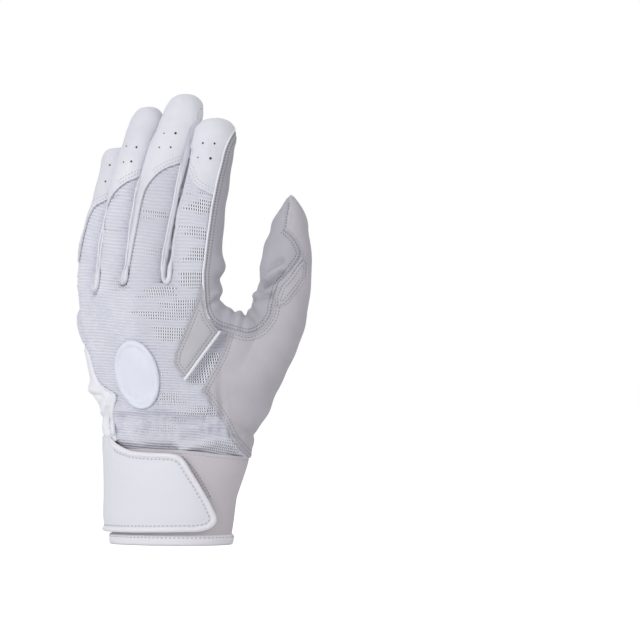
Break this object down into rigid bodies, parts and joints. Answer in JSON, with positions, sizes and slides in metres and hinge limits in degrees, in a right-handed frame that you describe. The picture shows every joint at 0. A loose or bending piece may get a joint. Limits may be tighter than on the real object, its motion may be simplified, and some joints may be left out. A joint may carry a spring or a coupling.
{
  "type": "batting glove",
  "caption": "Left-hand sports glove of ribbed knit and thin leather with fingers, a thumb, an open wrist cuff and a wrap-over closure tab, standing on its cuff.",
  "frame": {"origin": "middle of the glove's box, at the lower rim of the cuff", "axes": "+Z towards the fingertips, +X towards the thumb, -Y out of the back of the hand"},
  "size_m": [0.131, 0.0536, 0.2399],
  "materials": {
    "knit": "ribbed stretch knit, matt",
    "leather": "thin grained goatskin, soft sheen",
    "smooth": "smooth coated leather, satin",
    "piping": "folded cord, satin",
    "band": "foam-backed stretch fabric, matt",
    "moulded": "moulded, satin",
    "tape": "woven tape, matt"
  },
  "bodies": {
    "glove": {"back_knit": "knit", "index_gusset": "leather", "thumb_wrap": "leather", "index_cap": "smooth", "middle_cap": "smooth", "ring_cap": "smooth", "little_cap": "smooth", "index_middle_fourchette": "smooth", "middle_ring_fourchette": "smooth", "ring_little_fourchette": "smooth", "palm_leather": "leather", "thumb_front": "leather", "side_piping": "piping", "back_strap": "leather", "strap_piping": "piping", "thumb_patch": "leather", "palm_heel_patch": "leather", "slit_binding": "knit", "back_badge": "moulded", "wrist_elastic": "tape", "cuff_band": "band", "cuff_hem": "band", "loop_patch": "tape", "tab_root": "smooth"},
    "tab": {"closure_tab": "smooth", "tab_binding": "smooth", "hook_patch": "tape"}
  },
  "joints": [
    {"name": "tab_hinge", "type": "hinge", "parent": "glove", "child": "tab", "pos_m": [-0.04674, 0.01075, 0.032], "axis": [0.0407, -0.0104, -0.9991], "range_deg": [0, 150]}
  ]
}
